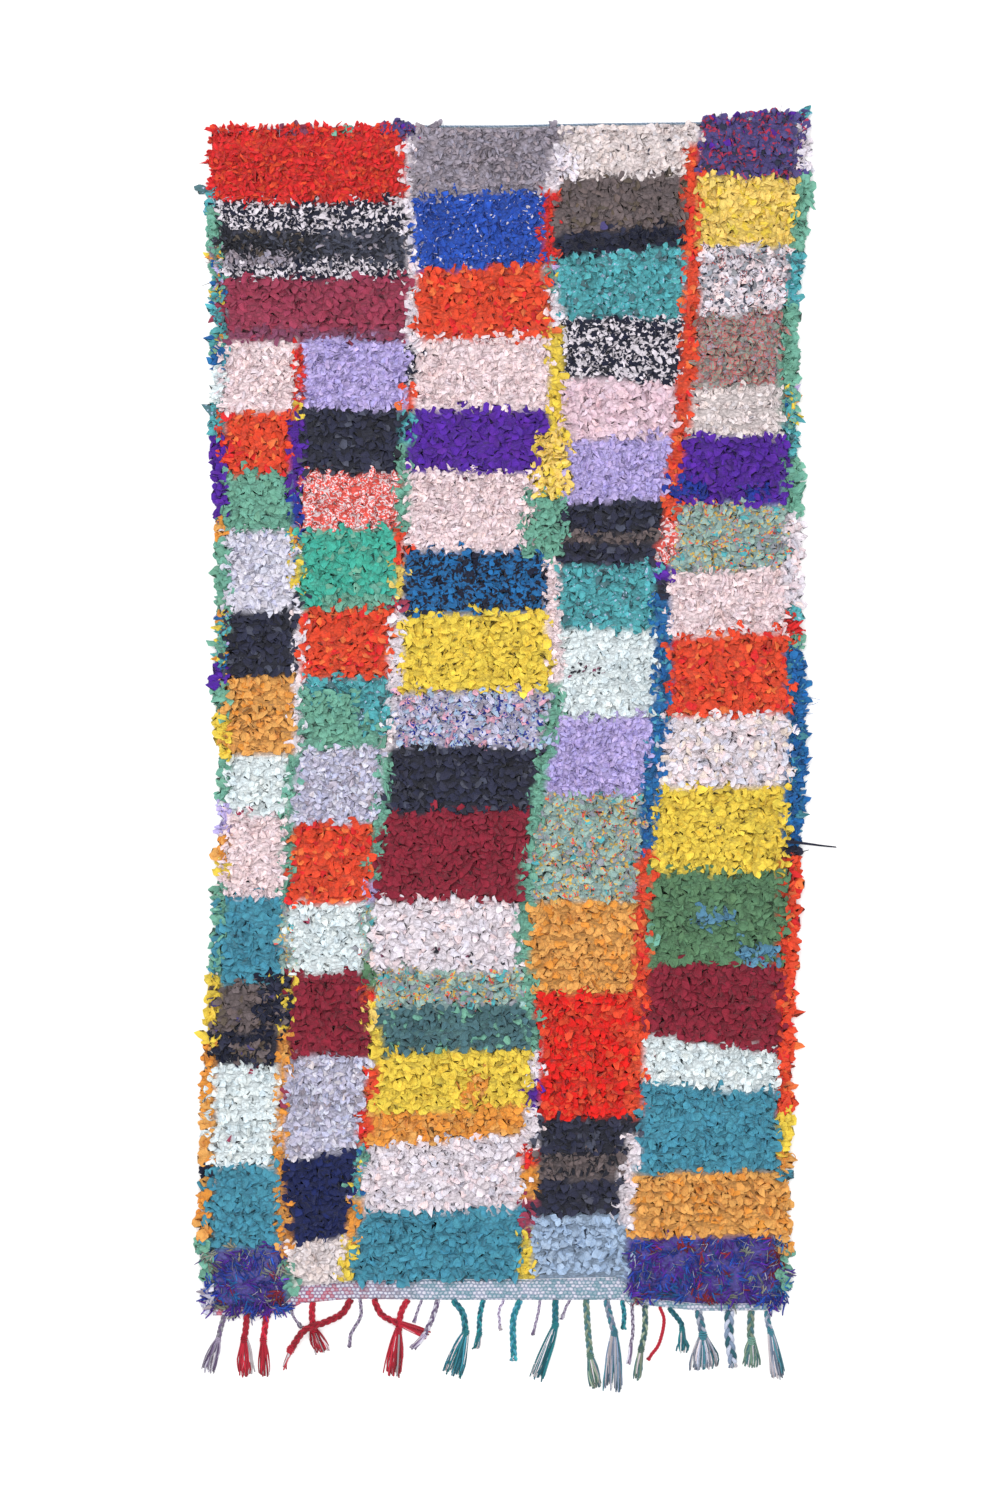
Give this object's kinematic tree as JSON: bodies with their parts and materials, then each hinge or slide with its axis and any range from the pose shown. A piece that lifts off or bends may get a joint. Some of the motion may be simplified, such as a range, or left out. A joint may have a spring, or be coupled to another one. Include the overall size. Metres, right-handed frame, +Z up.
{
  "type": "boucherouite rug",
  "caption": "Flat knotted rag-pile rug of patchwork blocks, with a woven end band, plaited tassels and a corded heading.",
  "frame": {"origin": "middle of the pile's underside, on the floor", "axes": "+X across the width, +Y along the rug toward the corded heading, +Z up through the pile"},
  "size_m": [1.1633, 2.3394, 0.033],
  "materials": {
    "rag_pile": "matte knotted rag pile in many colours",
    "end_weave": "matte flat weave and plaited wool",
    "heading_cord": "matte twined cord"
  },
  "bodies": {
    "root": {"pile_slab": "rag_pile", "fringe_band": "end_weave", "heading_edge": "heading_cord"}
  },
  "joints": []
}
